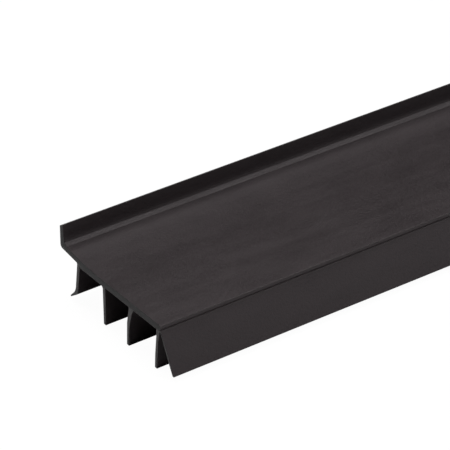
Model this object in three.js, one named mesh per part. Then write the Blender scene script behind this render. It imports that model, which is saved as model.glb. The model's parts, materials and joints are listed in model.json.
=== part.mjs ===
// Door sweep for the bottom edge of a 1-3/4 inch door: one extruded strip with a rigid base plate, a thin
// springy arm that turns up into a face lip, four hanging sealing fins and a slanted drip flap.
//
// Millimetres. X runs along the door, +Y points to the lip side and +Z up into the door.
// The origin is the middle of the seat, on the top face of the base plate.
//
// Every piece is one outline in the section plane, extruded along X. In an outline the first number is
// the distance from the plate's outer edge towards the lip, and the second is the height above the
// plate's top face.
import * as THREE from 'three';

const LENGTH = 914.4;
const SEAT_WIDTH = 44.45;

const BASE_THICKNESS = 2.0;
const BASE_WIDTH = 38.35;
const BASE_FLAT_WIDTH = 28.0;
const BASE_EDGE_SLANT = 0.35;
const BASE_EDGE_HEIGHT = 1.5;
const BASE_EDGE_RADIUS = 0.4;

const ARM_THICKNESS = 1.75;
const ARM_ANGLE = THREE.MathUtils.degToRad(7.5);

// The lip's top slants down to its outer side, so that it sheds water.
const LIP_HEIGHT = 7.35;
const LIP_OUTER_HEIGHT = 6.63;
const LIP_ROOT_THICKNESS = 1.95;
const LIP_TOP_THICKNESS = 1.5;
const LIP_INNER_FILLET = 1.7;
const LIP_OUTER_RADIUS = 1.1;
const LIP_TOP_RADIUS = 0.2;

// Flexible pieces hang this far below what carries them, and the arm starts this far past the plate,
// so that each can turn on its own living hinge.
const HINGE_GAP = 0.3;
const ROOT_ROUNDING = 0.85;
const TIP_ROUNDING = 0.3;

// Where a blade bends, its bend is a corner rounded by a radius, on the lip side or on the edge side.
const TOE_FIN = {
  root: 37.8,
  rootWidth: 1.15,
  tip: 42.2,
  tipDepth: 13.4,
  tipWidth: 0.35,
  lipBend: { across: 39.7, depth: 10.45, radius: 5.0 },
  edgeBend: { across: 38.6, depth: 10.9, radius: 2.2 },
};
const STRAIGHT_FIN = { root: 25.8, rootWidth: 1.1, tip: 25.8, tipDepth: 13.6, tipWidth: 1.0 };
const CURVED_FIN = {
  root: 13.35,
  rootWidth: 1.95,
  tip: 15.0,
  tipDepth: 14.1,
  tipWidth: 1.0,
  lipBend: { across: 15.38, depth: 6.9, radius: 6.0 },
  edgeBend: { across: 13.95, depth: 6.4, radius: 14.0 },
};
const EDGE_FIN = {
  root: 1.2,
  rootWidth: 1.4,
  tip: 2.33,
  tipDepth: 14.15,
  tipWidth: 0.95,
  edgeBend: { across: 1.15, depth: 5.4, radius: 8.0 },
};
const DRIP_FLAP = { root: -0.1, rootWidth: 1.15, tip: -5.42, tipDepth: 12.72, tipWidth: 0.85 };

const ARC_STEP = THREE.MathUtils.degToRad(6);

const RIGID_VINYL = { color: 0x3a3637, roughness: 0.5, metalness: 0 };
const SOFT_VINYL = { color: 0x353132, roughness: 0.62, metalness: 0 };

// ---- outline helpers ----

function corner(across, height, radius = 0) {
  return { point: new THREE.Vector2(across, height), radius };
}

// Points of the arc that rounds one corner, or the corner itself where its radius is zero.
function roundedCorner(before, here, after) {
  if (here.radius === 0) {
    return [here.point];
  }
  const back = before.point.clone().sub(here.point).normalize();
  const ahead = after.point.clone().sub(here.point).normalize();
  const halfAngle = Math.acos(back.dot(ahead)) / 2;
  const toTangent = here.radius / Math.tan(halfAngle);
  const toCentre = here.radius / Math.sin(halfAngle);
  const middle = back.clone().add(ahead).normalize();
  const centre = here.point.clone().addScaledVector(middle, toCentre);
  const start = here.point.clone().addScaledVector(back, toTangent).sub(centre);
  const turn = Math.PI - 2 * halfAngle;
  const side = Math.sign(ahead.cross(back));
  const steps = Math.max(1, Math.ceil(turn / ARC_STEP));
  const points = [];
  for (let step = 0; step <= steps; step += 1) {
    const angle = (side * turn * step) / steps;
    points.push(start.clone().rotateAround(new THREE.Vector2(), angle).add(centre));
  }
  return points;
}

function roundedOutline(corners) {
  const count = corners.length;
  const points = corners.flatMap((here, index) => (
    roundedCorner(corners[(index + count - 1) % count], here, corners[(index + 1) % count])
  ));
  return new THREE.Shape(points);
}

// ---- outlines ----

// The plate's top face curves up at its lip side until it has the arm's slope.
const CURVE_RADIUS = (BASE_WIDTH - BASE_FLAT_WIDTH) / Math.sin(ARM_ANGLE);
const CURVE_RISE = CURVE_RADIUS * (1 - Math.cos(ARM_ANGLE));

function armTopAt(across) {
  return CURVE_RISE + (across - BASE_WIDTH) * Math.tan(ARM_ANGLE);
}

function armUndersideAt(across) {
  return armTopAt(across) - ARM_THICKNESS / Math.cos(ARM_ANGLE);
}

function basePlateOutline() {
  const stepAcross = TOE_FIN.root - TOE_FIN.rootWidth / 2 - HINGE_GAP;
  const curveEnd = ARM_ANGLE - Math.PI / 2;
  const outline = new THREE.Shape();
  outline.moveTo(-BASE_EDGE_SLANT, -BASE_EDGE_HEIGHT);
  outline.lineTo(0, -BASE_THICKNESS);
  outline.lineTo(stepAcross, -BASE_THICKNESS);
  outline.lineTo(stepAcross, armUndersideAt(stepAcross));
  outline.lineTo(BASE_WIDTH, armUndersideAt(BASE_WIDTH));
  outline.lineTo(BASE_WIDTH, CURVE_RISE);
  outline.absarc(BASE_FLAT_WIDTH, CURVE_RADIUS, CURVE_RADIUS, curveEnd, -Math.PI / 2, true);
  outline.lineTo(BASE_EDGE_RADIUS, 0);
  outline.absarc(BASE_EDGE_RADIUS, -BASE_EDGE_RADIUS, BASE_EDGE_RADIUS, Math.PI / 2, Math.PI, false);
  return outline;
}

function faceLipOutline() {
  const start = BASE_WIDTH + HINGE_GAP;
  const outer = SEAT_WIDTH + LIP_ROOT_THICKNESS;
  return roundedOutline([
    corner(start, armUndersideAt(start)),
    corner(outer, armUndersideAt(outer), LIP_OUTER_RADIUS),
    corner(outer, LIP_OUTER_HEIGHT, LIP_TOP_RADIUS),
    corner(outer - LIP_TOP_THICKNESS, LIP_HEIGHT, LIP_TOP_RADIUS),
    corner(SEAT_WIDTH, armTopAt(SEAT_WIDTH), LIP_INNER_FILLET),
    corner(start, armTopAt(start)),
  ]);
}

function bendCorners(bend) {
  return bend ? [corner(bend.across, -bend.depth, bend.radius)] : [];
}

// A flexible blade: a round root that its living hinge runs through, any bends, and a squared tip.
function bladeOutline(blade, carrierUnderside) {
  const rootTop = carrierUnderside - HINGE_GAP;
  const rootHalf = blade.rootWidth / 2;
  const rootRadius = rootHalf * ROOT_ROUNDING;
  const tipHalf = blade.tipWidth / 2;
  const tipRadius = tipHalf * TIP_ROUNDING;
  return roundedOutline([
    corner(blade.root + rootHalf, rootTop, rootRadius),
    corner(blade.root - rootHalf, rootTop, rootRadius),
    ...bendCorners(blade.edgeBend),
    corner(blade.tip - tipHalf, -blade.tipDepth, tipRadius),
    corner(blade.tip + tipHalf, -blade.tipDepth, tipRadius),
    ...bendCorners(blade.lipBend),
  ]);
}

// ---- assembly ----

function strip(name, outline, finish) {
  const geometry = new THREE.ExtrudeGeometry(outline, {
    depth: LENGTH,
    bevelEnabled: false,
    curveSegments: 4,
  });
  const mesh = new THREE.Mesh(geometry, new THREE.MeshStandardMaterial(finish));
  mesh.name = name;
  return mesh;
}

// Turns the section plane into the part's YZ plane, with the extrusion running along X.
const sweep = new THREE.Group();
const alongY = new THREE.Vector3(0, 1, 0);
const alongZ = new THREE.Vector3(0, 0, 1);
const alongX = new THREE.Vector3(1, 0, 0);
sweep.quaternion.setFromRotationMatrix(new THREE.Matrix4().makeBasis(alongY, alongZ, alongX));
sweep.position.set(-LENGTH / 2, -SEAT_WIDTH / 2, 0);

const plateUnderside = -BASE_THICKNESS;
const stubUnderside = armUndersideAt(TOE_FIN.root);

sweep.add(strip('base_plate', basePlateOutline(), RIGID_VINYL));
sweep.add(strip('face_lip', faceLipOutline(), RIGID_VINYL));
sweep.add(strip('toe_fin', bladeOutline(TOE_FIN, stubUnderside), SOFT_VINYL));
sweep.add(strip('straight_fin', bladeOutline(STRAIGHT_FIN, plateUnderside), SOFT_VINYL));
sweep.add(strip('curved_fin', bladeOutline(CURVED_FIN, plateUnderside), SOFT_VINYL));
sweep.add(strip('edge_fin', bladeOutline(EDGE_FIN, plateUnderside), SOFT_VINYL));
sweep.add(strip('drip_flap', bladeOutline(DRIP_FLAP, plateUnderside), SOFT_VINYL));

const doorSweep = new THREE.Group();
doorSweep.add(sweep);

export default doorSweep;
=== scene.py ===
"""Door sweep: the looks of one long vinyl extrusion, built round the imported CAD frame.

Every visible piece is one section outline, drawn in millimetres and swept along X. In an outline the
first number is the distance from the base plate's outer edge towards the lip, and the second is the
height above the plate's top face. A third number, where there is one, rounds that corner.
"""

import json
import math

import bpy
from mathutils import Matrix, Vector


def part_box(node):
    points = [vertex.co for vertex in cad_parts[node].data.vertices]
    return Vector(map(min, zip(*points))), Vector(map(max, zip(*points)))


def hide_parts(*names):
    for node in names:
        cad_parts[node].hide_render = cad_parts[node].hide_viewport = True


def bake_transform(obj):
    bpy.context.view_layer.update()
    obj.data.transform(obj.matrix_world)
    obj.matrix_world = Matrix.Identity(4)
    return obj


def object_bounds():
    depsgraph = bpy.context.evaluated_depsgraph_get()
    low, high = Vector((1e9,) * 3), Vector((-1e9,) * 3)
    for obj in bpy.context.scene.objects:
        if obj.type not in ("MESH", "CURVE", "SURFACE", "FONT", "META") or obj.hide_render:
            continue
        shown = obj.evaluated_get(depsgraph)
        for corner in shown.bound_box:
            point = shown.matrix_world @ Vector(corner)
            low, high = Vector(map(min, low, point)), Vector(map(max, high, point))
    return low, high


MM = 0.001

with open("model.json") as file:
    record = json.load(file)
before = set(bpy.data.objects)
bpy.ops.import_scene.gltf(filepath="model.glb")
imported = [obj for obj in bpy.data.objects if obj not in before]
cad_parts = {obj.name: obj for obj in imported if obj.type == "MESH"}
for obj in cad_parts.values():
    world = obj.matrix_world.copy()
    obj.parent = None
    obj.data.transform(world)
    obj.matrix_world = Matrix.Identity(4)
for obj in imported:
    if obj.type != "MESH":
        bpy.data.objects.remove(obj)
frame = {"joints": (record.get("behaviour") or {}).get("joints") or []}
cad_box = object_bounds()

# ---- places taken from the frame ----

plate_low, plate_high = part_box("base_plate")
lip_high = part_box("face_lip")[1]
# The plate's outer edge slants out by this much below its top edge.
PLATE_SLANT = 0.35
X_START = plate_low.x
X_END = plate_high.x
EDGE_Y = plate_low.y + PLATE_SLANT * MM
UNDERSIDE = plate_low.z / MM
LIP_TOP = lip_high.z / MM
LIP_OUTER = (lip_high.y - EDGE_Y) / MM
PIVOTS = {j["child"]: Vector(j["pos_m"]) for j in frame["joints"]}


def tip_height(node):
    """Height of a blade's lowest point, in outline millimetres."""
    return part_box(node)[0].z / MM


# ---- section outlines ----

ARC_STEP = math.radians(8)

# The plate's top is flat as far as FLAT_WIDTH and then curves up to the arm's slope. Its underside
# steps up to the thinner arm a little sooner than that.
FLAT_WIDTH = 28.0
STEP_AT = 37.2
ARM_STARTS = 38.35
ARM_THICKNESS = 1.75
ARM_SLOPE = math.tan(math.radians(7.5))
CURVE_RADIUS = (ARM_STARTS - FLAT_WIDTH) / math.sin(math.atan(ARM_SLOPE))
CURVE_RISE = CURVE_RADIUS * (1 - math.cos(math.atan(ARM_SLOPE)))
LIP_TOP_THICKNESS = 1.5
LIP_TOP_SLANT = 0.95
# The crown of the rounded lip stands a little above the plain lip of the frame.
LIP_TOP_RAISE = 0.22
# How far a blade's root reaches into what carries it.
EMBED = 0.12
TOE_ROOT = 37.8
# The drip flap's root starts inside the plate's outer edge, at this height.
FLAP_TOP = -1.4


def arm_top(across):
    """Height of the arm's straight top face."""
    return CURVE_RISE + (across - ARM_STARTS) * ARM_SLOPE


def arm_underside(across):
    return arm_top(across) - ARM_THICKNESS / math.cos(math.atan(ARM_SLOPE))


def rounded_corner(before, here, after):
    """The points of the arc that rounds one corner (across, height, radius)."""
    point = Vector(here[:2])
    radius = here[2] if len(here) > 2 else 0
    if radius == 0:
        return [point]
    back = (Vector(before[:2]) - point).normalized()
    ahead = (Vector(after[:2]) - point).normalized()
    half = math.acos(max(-1.0, min(1.0, back.dot(ahead)))) / 2
    centre = point + (back + ahead).normalized() * (radius / math.sin(half))
    arm = point + back * (radius / math.tan(half)) - centre
    turn = math.pi - 2 * half
    side = 1 if back.x * ahead.y - back.y * ahead.x < 0 else -1
    steps = max(1, math.ceil(turn / ARC_STEP))
    points = []
    for step in range(steps + 1):
        angle = side * turn * step / steps
        turned = Vector((arm.x * math.cos(angle) - arm.y * math.sin(angle),
                         arm.x * math.sin(angle) + arm.y * math.cos(angle)))
        points.append(centre + turned)
    return points


def rounded(corners):
    """A closed outline from corners (across, height) or (across, height, radius)."""
    count = len(corners)
    points = []
    for index, here in enumerate(corners):
        points += rounded_corner(corners[index - 1], here, corners[(index + 1) % count])
    return points


# The plate's top face is not quite flat. It sinks over the roots of the two middle fins, where the
# vinyl was thickest and shrank the most as it cooled, and it falls away a little at its outer edge.
# Each sink is (fin, depth, half width).
SINKS = (("straight_fin", 0.11, 3.4), ("curved_fin", 0.02, 2.2))
EDGE_FALL = 0.16
EDGE_FALL_WIDTH = 2.25
# Just before the lip the arm's top dips into a shallow relief for the door's corner.
RELIEF_DEPTH = 0.13
RELIEF_AT = 43.1
RELIEF_HALF_WIDTH = 1.6
# The top face is drawn with points this far apart, as near to the outer edge as TOP_ENDS.
TOP_STEP = 0.5
TOP_ENDS = 1.0


def plate_top(across):
    """Height of the top face of the plate and the arm at a distance from the plate's outer edge."""
    if across > ARM_STARTS:
        height = arm_top(across)
    else:
        height = CURVE_RADIUS - math.sqrt(CURVE_RADIUS ** 2 - max(0.0, across - FLAT_WIDTH) ** 2)
    for fin, depth, half_width in SINKS:
        root = (PIVOTS[fin].y - EDGE_Y) / MM
        height -= depth * math.exp(-((across - root) / half_width) ** 2)
    height -= EDGE_FALL * math.exp(-across / EDGE_FALL_WIDTH)
    height -= RELIEF_DEPTH * math.exp(-((across - RELIEF_AT) / RELIEF_HALF_WIDTH) ** 2)
    return height


# The inner corner between arm and lip is filled: it leaves the arm sharply and then steepens slowly
# into the lip's inner face.
FILLET_STARTS = 43.52
FILLET = ((44.7, 3.7, 2.0), (44.56, 2.92, 1.4), (44.28, 2.25, 1.2))


def carrier_outline():
    """The rigid plate, its thin arm and the upturned lip, anticlockwise from the outer edge."""
    lip_inner = LIP_OUTER - LIP_TOP_THICKNESS
    lip_top = LIP_TOP + LIP_TOP_RAISE
    steps = int((FILLET_STARTS - TOP_ENDS) / TOP_STEP)
    top_line = [FILLET_STARTS - TOP_STEP * step for step in range(steps + 1)]
    return rounded([
        (0.0, plate_top(0.0), 0.12),
        (0.03, -0.4),
        (0.08, -0.5),
        (0.12, -1.38),
        (0.35, UNDERSIDE),
        (STEP_AT, UNDERSIDE, 0.12),
        (STEP_AT, arm_underside(STEP_AT), 0.15),
        (LIP_OUTER, arm_underside(LIP_OUTER), 1.1),
        (LIP_OUTER, lip_top - LIP_TOP_SLANT, 0.3),
        (lip_inner, lip_top, 0.1),
        *FILLET,
        *[(across, plate_top(across)) for across in top_line],
    ])


def toe_fin_outline():
    root = arm_underside(TOE_ROOT)
    tip = tip_height("toe_fin")
    return rounded([
        (STEP_AT + 0.02, root + EMBED),
        (37.28, -2.2, 6.0),
        (38.22, -8.4, 30.0),
        (38.62, tip + 2.45, 2.0),
        (42.02, tip, 0.12),
        (42.24, tip + 0.3, 0.12),
        (39.68, tip + 3.0, 4.6),
        (38.46, arm_underside(38.46), 0.55),
        (39.1, arm_underside(39.1)),
        (39.1, arm_underside(39.1) + EMBED),
    ])


def straight_fin_outline():
    tip = tip_height("straight_fin")
    return rounded([
        (25.2, UNDERSIDE + EMBED),
        (25.22, UNDERSIDE - 0.3, 0.2),
        (25.3, tip, 0.14),
        (26.32, tip, 0.14),
        (26.46, UNDERSIDE, 0.95),
        (27.5, UNDERSIDE),
        (27.5, UNDERSIDE + EMBED),
    ])


def curved_fin_outline():
    tip = tip_height("curved_fin")
    return rounded([
        (12.1, UNDERSIDE + EMBED),
        (12.2, UNDERSIDE, 0.2),
        (13.05, -3.5, 3.2),
        (13.75, -6.0, 9.0),
        (14.42, -9.4, 12.0),
        (14.46, tip, 0.15),
        (15.54, tip, 0.15),
        (15.34, -7.2, 5.0),
        (14.4, UNDERSIDE - 0.3, 1.0),
        (14.35, UNDERSIDE + EMBED),
    ])


def edge_fin_outline():
    tip = tip_height("edge_fin")
    return rounded([
        (0.45, UNDERSIDE + EMBED),
        (0.52, UNDERSIDE - 0.5, 1.0),
        (1.15, -5.4, 8.0),
        (1.82, tip, 0.14),
        (2.84, tip, 0.14),
        (2.66, -10.2, 20.0),
        (2.0, UNDERSIDE - 2.0, 5.0),
        (1.98, UNDERSIDE, 0.25),
        (2.1, UNDERSIDE + EMBED),
    ])


def drip_flap_outline():
    tip = tip_height("drip_flap")
    return rounded([
        (0.3, -1.47),
        (-0.17, -1.54, 0.08),
        (-0.34, -2.1, 3.2),
        (-2.85, -6.6, 60.0),
        (-5.94, tip - 0.06, 0.24),
        (-5.06, tip + 0.1, 0.16),
        (-3.36, -9.4, 40.0),
        (0.1, -2.35, 1.2),
        (0.42, UNDERSIDE - 0.05),
        (0.42, FLAP_TOP),
    ])


# ---- mesh ----

# The saw rolls the cut edge over: a little on the near side of each wall and more on its far side,
# where it leaves the vinyl.
RIM_DEPTH = 0.06
RIM_WIDTH = 0.05
RIM_WIDTH_FAR_SIDE = 0.2
SAW_DIRECTION = Vector((0.8, -0.6))
# The skin has a ring of points this often along X, so that a blade's free edge can ripple.
RING_SPACING = 12.0
SHARP_ANGLE = math.radians(28)
# Outline points closer than this are one point.
SAME_POINT = 0.0001
SECTION_UV = "section"
# Each wave of a ripple has its share, its radians a metre along X and across Y, and its offset.
WAVES = ((0.6, 37.0, 900.0, 0.0), (0.4, 83.0, 1700.0, 1.3))


def outline_area(points):
    """Area inside an outline, negative where it runs clockwise."""
    return sum(a.x * b.y - b.x * a.y for a, b in zip(points, points[1:] + points[:1])) / 2


def rolled_rim(points):
    """The outline of a cut face: the section moved inwards by the width of its rolled rim."""
    moved = []
    count = len(points)
    for index, point in enumerate(points):
        along = (points[(index + 1) % count] - points[index - 1]).normalized()
        inwards = Vector((-along.y, along.x))
        far_side = max(0.0, -inwards.dot(SAW_DIRECTION))
        moved.append(point + inwards * (RIM_WIDTH + (RIM_WIDTH_FAR_SIDE - RIM_WIDTH) * far_side))
    return moved


def ring_stations(recess):
    """(x, is cut face) of each ring from end to end."""
    low = X_START + recess * MM
    high = X_END - recess * MM
    rim = RIM_DEPTH * MM
    skin = high - low - 2 * rim
    count = round(skin / (RING_SPACING * MM))
    inner = [low + rim + skin * step / count for step in range(count + 1)]
    return [(low, True), *[(x, False) for x in inner], (high, True)]


def wave(x, y):
    """A slow ripple along a soft blade's free edge, from -1 to 1."""
    return sum(share * math.sin(x * along + y * across + offset)
               for share, along, across, offset in WAVES)


def swept_mesh(name, outline, recess=0.0, ripple=0.0):
    """Sweeps an outline along X into one closed mesh with flat cut ends.

    recess shortens it at both ends and ripple moves its lowest part sideways, both in millimetres.
    """
    points = [p for i, p in enumerate(outline) if (p - outline[i - 1]).length > SAME_POINT]
    if outline_area(points) < 0:
        points.reverse()
    count = len(points)
    lowest = min(p.y for p in points)
    highest = max(p.y for p in points)
    stations = ring_stations(recess)
    rim = rolled_rim(points)
    vertices = []
    for x, is_cut in stations:
        for point in rim if is_cut else points:
            depth = (highest - point.y) / (highest - lowest)
            shift = ripple * depth ** 2 * wave(x, EDGE_Y + point.x * MM)
            vertices.append((x, EDGE_Y + (point.x + shift) * MM, point.y * MM))
    faces = []
    for ring in range(len(stations) - 1):
        low = ring * count
        high = low + count
        for k in range(count):
            following = (k + 1) % count
            faces.append((low + k, low + following, high + following, high + k))
    last = (len(stations) - 1) * count
    faces.append(tuple(reversed(range(count))))
    faces.append(tuple(range(last, last + count)))
    mesh = bpy.data.meshes.new(name)
    mesh.from_pydata(vertices, [], faces)
    add_section_uv(mesh, points)
    mesh.polygons.foreach_set("use_smooth", [True] * len(faces))
    mesh.set_sharp_from_angle(angle=SHARP_ANGLE)
    for cap in mesh.polygons[-2:]:
        cap.material_index = 1
    return mesh


def add_section_uv(mesh, points):
    """UV in metres: round the section and along X on the skin, and the section plane on the cut ends."""
    count = len(points)
    arc = [0.0]
    for index in range(count):
        arc.append(arc[-1] + (points[(index + 1) % count] - points[index]).length * MM)
    layer = mesh.uv_layers.new(name=SECTION_UV)
    for face in mesh.polygons:
        is_cap = len(face.vertices) > 4
        k = face.index % count
        around = (arc[k], arc[k + 1], arc[k + 1], arc[k])
        for corner, loop in enumerate(face.loop_indices):
            place = mesh.vertices[mesh.loops[loop].vertex_index].co
            layer.data[loop].uv = (place.y, place.z) if is_cap else (around[corner], place.x)


# ---- materials ----

# Noise features a metre along U and V. On the skin U runs round the section and V along X.
BROAD_LINES = (310.0, 2.2)
FINE_LINES = (2400.0, 7.0)
MOTTLE = (170.0, 60.0)
GRAIN = (1700.0, 1200.0)
SAW_MARKS = (900.0, 5200.0)
SAW_SMEAR = (420.0, 420.0)
# Heights of the bumps, in metres.
LINE_HEIGHT = 0.000004
GRAIN_HEIGHT = 0.000036
SAW_MARK_HEIGHT = 0.00002
# The skin's sheen keeps a trace of the vinyl's purplish brown.
SKIN_SHEEN_TINT = (1.0, 0.92, 0.945, 1.0)
SAW_CUT_SPECULAR = 0.24


def add_node(tree, kind, inputs=None, **settings):
    """A new shader node with its settings, and its inputs given as values or as sockets to link."""
    node = tree.nodes.new(kind)
    for name, value in settings.items():
        setattr(node, name, value)
    for name, value in (inputs or {}).items():
        if isinstance(value, bpy.types.NodeSocket):
            tree.links.new(value, node.inputs[name])
        else:
            node.inputs[name].default_value = value
    return node


def noise(tree, uv, per_metre, detail, roughness):
    """Noise from 0 to 1 with the given number of features a metre along U and V."""
    scaled = add_node(tree, "ShaderNodeMapping", {"Vector": uv, "Scale": (*per_metre, 1.0)})
    texture = add_node(tree, "ShaderNodeTexNoise", {
        "Vector": scaled.outputs["Vector"], "Scale": 1.0, "Detail": detail, "Roughness": roughness,
    }, noise_dimensions="2D")
    return texture.outputs["Fac"]


def weighted(tree, *terms):
    """The sum of (socket - 0.5) * weight over the terms, plus 0.5."""
    total = 0.5
    for socket, weight in terms:
        centred = add_node(tree, "ShaderNodeMath", {0: socket, 1: 0.5}, operation="SUBTRACT").outputs[0]
        total = add_node(tree, "ShaderNodeMath", {0: centred, 1: weight, 2: total},
                         operation="MULTIPLY_ADD").outputs[0]
    return total


def map_range(tree, value, start, end, low, high):
    """Maps a value between start and end to one between low and high."""
    return add_node(tree, "ShaderNodeMapRange", {
        "Value": value, "From Min": start, "From Max": end, "To Min": low, "To Max": high,
    }).outputs["Result"]


def mix_colours(tree, factor, dark, light):
    """A colour between two, by the colour sockets (6, 7 and output 2) of the mix node."""
    return add_node(tree, "ShaderNodeMix", {0: factor, 6: (*dark, 1.0), 7: (*light, 1.0)},
                    data_type="RGBA").outputs[2]


def section_uv(tree):
    return add_node(tree, "ShaderNodeUVMap", uv_map=SECTION_UV).outputs["UV"]


def bump(tree, height, distance, **inputs):
    """A normal bumped by a height, on top of the normal in inputs where there is one."""
    return add_node(tree, "ShaderNodeBump", {
        "Height": height, "Strength": 1.0, "Distance": distance, **inputs,
    }).outputs["Normal"]


def blank_material(name):
    material = bpy.data.materials.new(name)
    material.use_nodes = True
    material.node_tree.nodes.clear()
    return material, material.node_tree


def finish_material(tree, inputs):
    shader = add_node(tree, "ShaderNodeBsdfPrincipled", inputs)
    add_node(tree, "ShaderNodeOutputMaterial", {"Surface": shader.outputs["BSDF"]})


def extruded_vinyl(name, dark, light, roughness, specular):
    """Dark vinyl as it leaves the die: lines along its length, soft mottling and a fine pebble."""
    material, tree = blank_material(name)
    uv = section_uv(tree)
    broad_lines = noise(tree, uv, BROAD_LINES, detail=2.0, roughness=0.55)
    fine_lines = noise(tree, uv, FINE_LINES, detail=3.0, roughness=0.6)
    mottle = noise(tree, uv, MOTTLE, detail=3.0, roughness=0.6)
    grain = noise(tree, uv, GRAIN, detail=3.0, roughness=0.65)
    tone = weighted(tree, (broad_lines, 0.45), (fine_lines, 0.25), (mottle, 0.7), (grain, 1.3))
    sheen_tone = weighted(tree, (broad_lines, 0.3), (fine_lines, 0.25), (mottle, 0.7), (grain, 1.2))
    lined = bump(tree, fine_lines, LINE_HEIGHT)
    finish_material(tree, {
        "Base Color": mix_colours(tree, tone, dark, light),
        "Roughness": map_range(tree, sheen_tone, 0.0, 1.0, *roughness),
        "Specular IOR Level": specular,
        "Specular Tint": SKIN_SHEEN_TINT,
        "Normal": bump(tree, grain, GRAIN_HEIGHT, Normal=lined),
    })
    return material


def saw_cut_vinyl(name, dark, light, roughness):
    """A sawn end: duller and greyer than the skin, with close parallel saw marks; the soft blades' much
    lighter colours add painted light.
    """
    material, tree = blank_material(name)
    uv = section_uv(tree)
    marks = noise(tree, uv, SAW_MARKS, detail=3.0, roughness=0.65)
    smear = noise(tree, uv, SAW_SMEAR, detail=2.0, roughness=0.5)
    tone = weighted(tree, (marks, 1.0), (smear, 0.7))
    finish_material(tree, {
        "Base Color": mix_colours(tree, tone, dark, light),
        "Roughness": roughness,
        "Specular IOR Level": SAW_CUT_SPECULAR,
        "Normal": bump(tree, marks, SAW_MARK_HEIGHT),
    })
    return material


RIGID_SKIN = extruded_vinyl(
    "rigid_vinyl_skin", dark=(0.0125, 0.0090, 0.0099), light=(0.0230, 0.0171, 0.0184),
    roughness=(0.37, 0.56), specular=0.58,
)
SOFT_SKIN = extruded_vinyl(
    "soft_vinyl_skin", dark=(0.0125, 0.0092, 0.0101), light=(0.0230, 0.0173, 0.0187),
    roughness=(0.42, 0.64), specular=0.55,
)
RIGID_CUT = saw_cut_vinyl(
    "rigid_vinyl_cut", dark=(0.014, 0.0135, 0.0136), light=(0.028, 0.0271, 0.0273), roughness=0.6,
)
# The soft blades' sawn ends are duller than their skin and carry saw marks. Their much lighter tone is
# painted light, standing in for the light that the thin sawn ends catch.
SOFT_CUT_WITH_PAINTED_LIGHT = saw_cut_vinyl(
    "soft_vinyl_cut_painted_light", dark=(0.060, 0.0570, 0.0575), light=(0.105, 0.1, 0.101), roughness=0.65,
)


# ---- pieces ----

# Blades stop this far inside the carrier's sawn ends, so that no two cut faces lie in one plane.
BLADE_RECESS = 0.02
BLADE_RIPPLE = 0.05


def add_piece(name, mesh, nodes, materials):
    """Puts a mesh in the scene in place of CAD nodes, with its skin and its cut-face materials."""
    piece = bpy.data.objects.new(name, mesh)
    bpy.context.scene.collection.objects.link(piece)
    for material in materials:
        mesh.materials.append(material)
    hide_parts(*nodes)
    return piece


def add_carrier():
    mesh = swept_mesh("carrier_profile", carrier_outline())
    piece = add_piece("carrier_profile", mesh, ["base_plate", "face_lip"],
                      [RIGID_SKIN, RIGID_CUT])
    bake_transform(piece)


def add_blade(node, outline):
    """A soft blade that is fused to the carrier at its root."""
    name = node + "_blade"
    mesh = swept_mesh(name, outline, BLADE_RECESS, BLADE_RIPPLE)
    piece = add_piece(name, mesh, [node], [SOFT_SKIN, SOFT_CUT_WITH_PAINTED_LIGHT])
    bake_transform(piece)


add_carrier()
add_blade("toe_fin", toe_fin_outline())
add_blade("straight_fin", straight_fin_outline())
add_blade("curved_fin", curved_fin_outline())
add_blade("edge_fin", edge_fin_outline())
add_blade("drip_flap", drip_flap_outline())


# ---- stage, light and camera ----

# Lengths from here on are in metres, but for the lens and the sensor, which are in millimetres.
FLOOR_GAP = 0.0002
FLOOR_HALF = 40.0
# What the camera sees of the floor is its own glow with a trace of shading.
FLOOR_GLOW = 0.97
FLOOR_SHADING = 0.05
FLOOR_BOUNCE = 0.85


def grey(value):
    return (value, value, value, 1.0)


WHITE = grey(1.0)


def seen_or_lit(tree, seen, lit):
    """One shader where the camera looks and another where light bounces."""
    path = add_node(tree, "ShaderNodeLightPath")
    return add_node(tree, "ShaderNodeMixShader", {
        0: path.outputs["Is Camera Ray"], 1: lit.outputs[0], 2: seen.outputs[0],
    }).outputs[0]


def add_floor(height):
    """A pale floor that looks evenly white and throws soft light back up at the object."""
    mesh = bpy.data.meshes.new("floor")
    half = FLOOR_HALF
    corners = [(-half, -half, height), (half, -half, height), (half, half, height), (-half, half, height)]
    mesh.from_pydata(corners, [], [(0, 1, 2, 3)])
    floor = bpy.data.objects.new("floor", mesh)
    bpy.context.scene.collection.objects.link(floor)
    material, tree = blank_material("pale_floor")
    glow = add_node(tree, "ShaderNodeEmission", {"Color": WHITE, "Strength": FLOOR_GLOW})
    shading = add_node(tree, "ShaderNodeBsdfDiffuse", {"Color": grey(FLOOR_SHADING)})
    seen = add_node(tree, "ShaderNodeAddShader", {0: glow.outputs[0], 1: shading.outputs[0]})
    bounce = add_node(tree, "ShaderNodeBsdfDiffuse", {"Color": grey(FLOOR_BOUNCE)})
    both = seen_or_lit(tree, seen, bounce)
    add_node(tree, "ShaderNodeOutputMaterial", {"Surface": both})
    mesh.materials.append(material)


def direction(azimuth, elevation):
    """The way towards a light or the camera: azimuth 0 is -Y and 90 is +X, in degrees."""
    a = math.radians(azimuth)
    e = math.radians(elevation)
    return Vector((math.sin(a) * math.cos(e), -math.cos(a) * math.cos(e), math.sin(e)))


SOFTBOX_SPREAD = 40.0
# Each soft light has its name, azimuth, elevation and strength.
SOFTBOXES = (
    ("top_softbox", 180.0, 75.0, 2.0),
    ("front_softbox", 45.0, 45.0, 1.22),
    ("back_softbox", 180.0, 14.0, 0.89),
)


def add_softbox(name, azimuth, elevation, strength):
    sun = bpy.data.lights.new(name, "SUN")
    sun.energy = strength
    sun.angle = math.radians(SOFTBOX_SPREAD)
    lamp = bpy.data.objects.new(name, sun)
    bpy.context.scene.collection.objects.link(lamp)
    lamp.rotation_mode = "QUATERNION"
    lamp.rotation_quaternion = direction(azimuth, elevation).to_track_quat("Z", "Y")


SKY_GLOW = 0.02
GROUND_GLOW = 0.01
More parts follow.
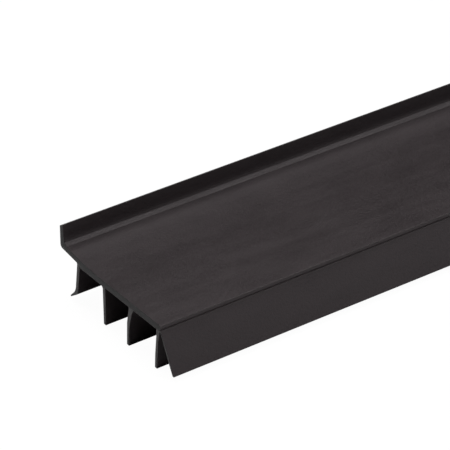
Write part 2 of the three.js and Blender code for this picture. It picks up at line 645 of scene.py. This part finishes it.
# Upward part of a direction where the ground's glow ends, and where the sky's is full.
GROUND_ENDS = -0.1
SKY_STARTS = 0.35


def light_world():
    """White to look at, and for lighting a dim sky over a darker ground."""
    world = bpy.data.worlds.new("studio")
    world.use_nodes = True
    tree = world.node_tree
    tree.nodes.clear()
    looking = add_node(tree, "ShaderNodeTexCoord").outputs["Generated"]
    upward = add_node(tree, "ShaderNodeSeparateXYZ", {0: looking}).outputs["Z"]
    glow = map_range(tree, upward, GROUND_ENDS, SKY_STARTS, GROUND_GLOW, SKY_GLOW)
    lit = add_node(tree, "ShaderNodeBackground", {"Color": WHITE, "Strength": glow})
    seen = add_node(tree, "ShaderNodeBackground", {"Color": WHITE, "Strength": 1.0})
    add_node(tree, "ShaderNodeOutputWorld", {"Surface": seen_or_lit(tree, seen, lit)})
    bpy.context.scene.world = world


CAMERA_AZIMUTH = -35.672
CAMERA_ELEVATION = 31.685
CAMERA_DISTANCE = 0.75368
CAMERA_LENS = 226.28
SENSOR_WIDTH = 36.0
CLIP_START = 0.05
CLIP_END = 100.0
# The point of the plate's top face that the camera aims at, from the near end and the outer edge.
AIM_FROM_END = 0.04148
AIM_FROM_EDGE = 0.02984


def add_camera():
    back = direction(CAMERA_AZIMUTH, CAMERA_ELEVATION)
    aim = Vector((X_START + AIM_FROM_END, EDGE_Y + AIM_FROM_EDGE, 0.0))
    data = bpy.data.cameras.new("camera")
    data.lens = CAMERA_LENS
    data.sensor_width = SENSOR_WIDTH
    data.clip_start = CLIP_START
    data.clip_end = CLIP_END
    camera = bpy.data.objects.new("camera", data)
    bpy.context.scene.collection.objects.link(camera)
    camera.location = aim + back * CAMERA_DISTANCE
    camera.rotation_mode = "QUATERNION"
    camera.rotation_quaternion = (-back).to_track_quat("-Z", "Y")
    bpy.context.scene.camera = camera


add_floor(cad_box[0].z - FLOOR_GAP)
light_world()
for softbox in SOFTBOXES:
    add_softbox(*softbox)
add_camera()
bpy.context.scene.view_settings.view_transform = "Standard"
